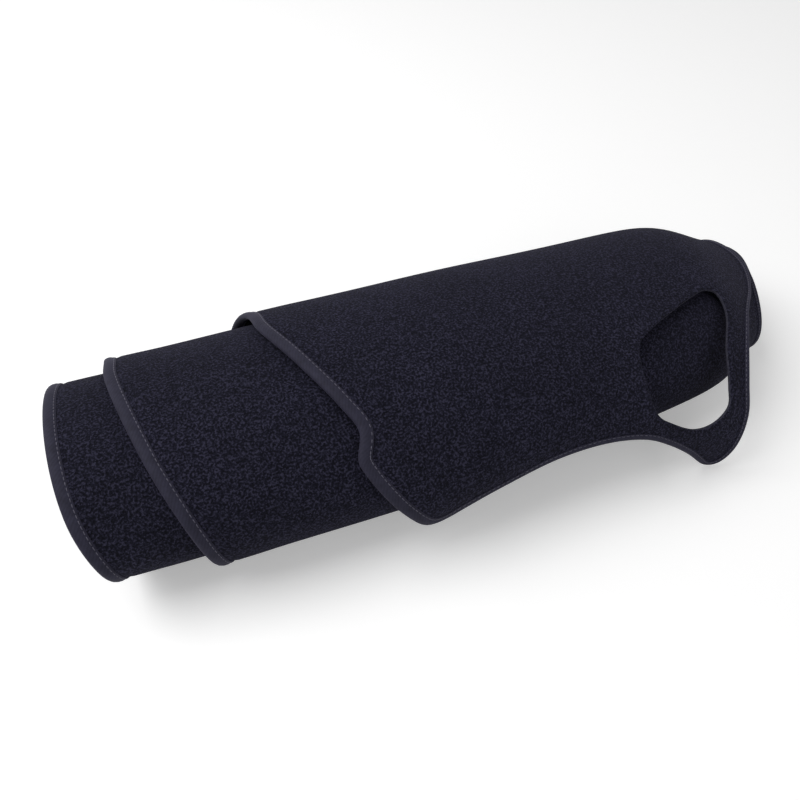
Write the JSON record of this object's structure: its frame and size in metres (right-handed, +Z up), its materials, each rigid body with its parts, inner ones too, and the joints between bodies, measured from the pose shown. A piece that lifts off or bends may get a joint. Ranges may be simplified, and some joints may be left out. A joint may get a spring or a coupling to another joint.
{
  "type": "dashboard cover mat",
  "caption": "Rolled-up dark fleece dashboard cover mat with a taped edge, stepped ends, an opening near one end and its loose end hanging over the front.",
  "frame": {"origin": "centre of the bounding box, on the surface the roll lies on", "axes": "+X along the roll towards the end with the opening, -Y the side of the loose end, +Z up"},
  "size_m": [0.616, 0.2288, 0.1357],
  "materials": {
    "fleece": "short matt pile, near black",
    "binding_tape": "dark grey woven tape"
  },
  "bodies": {
    "root": {"mat": "fleece", "edge_binding": "binding_tape"}
  },
  "joints": []
}
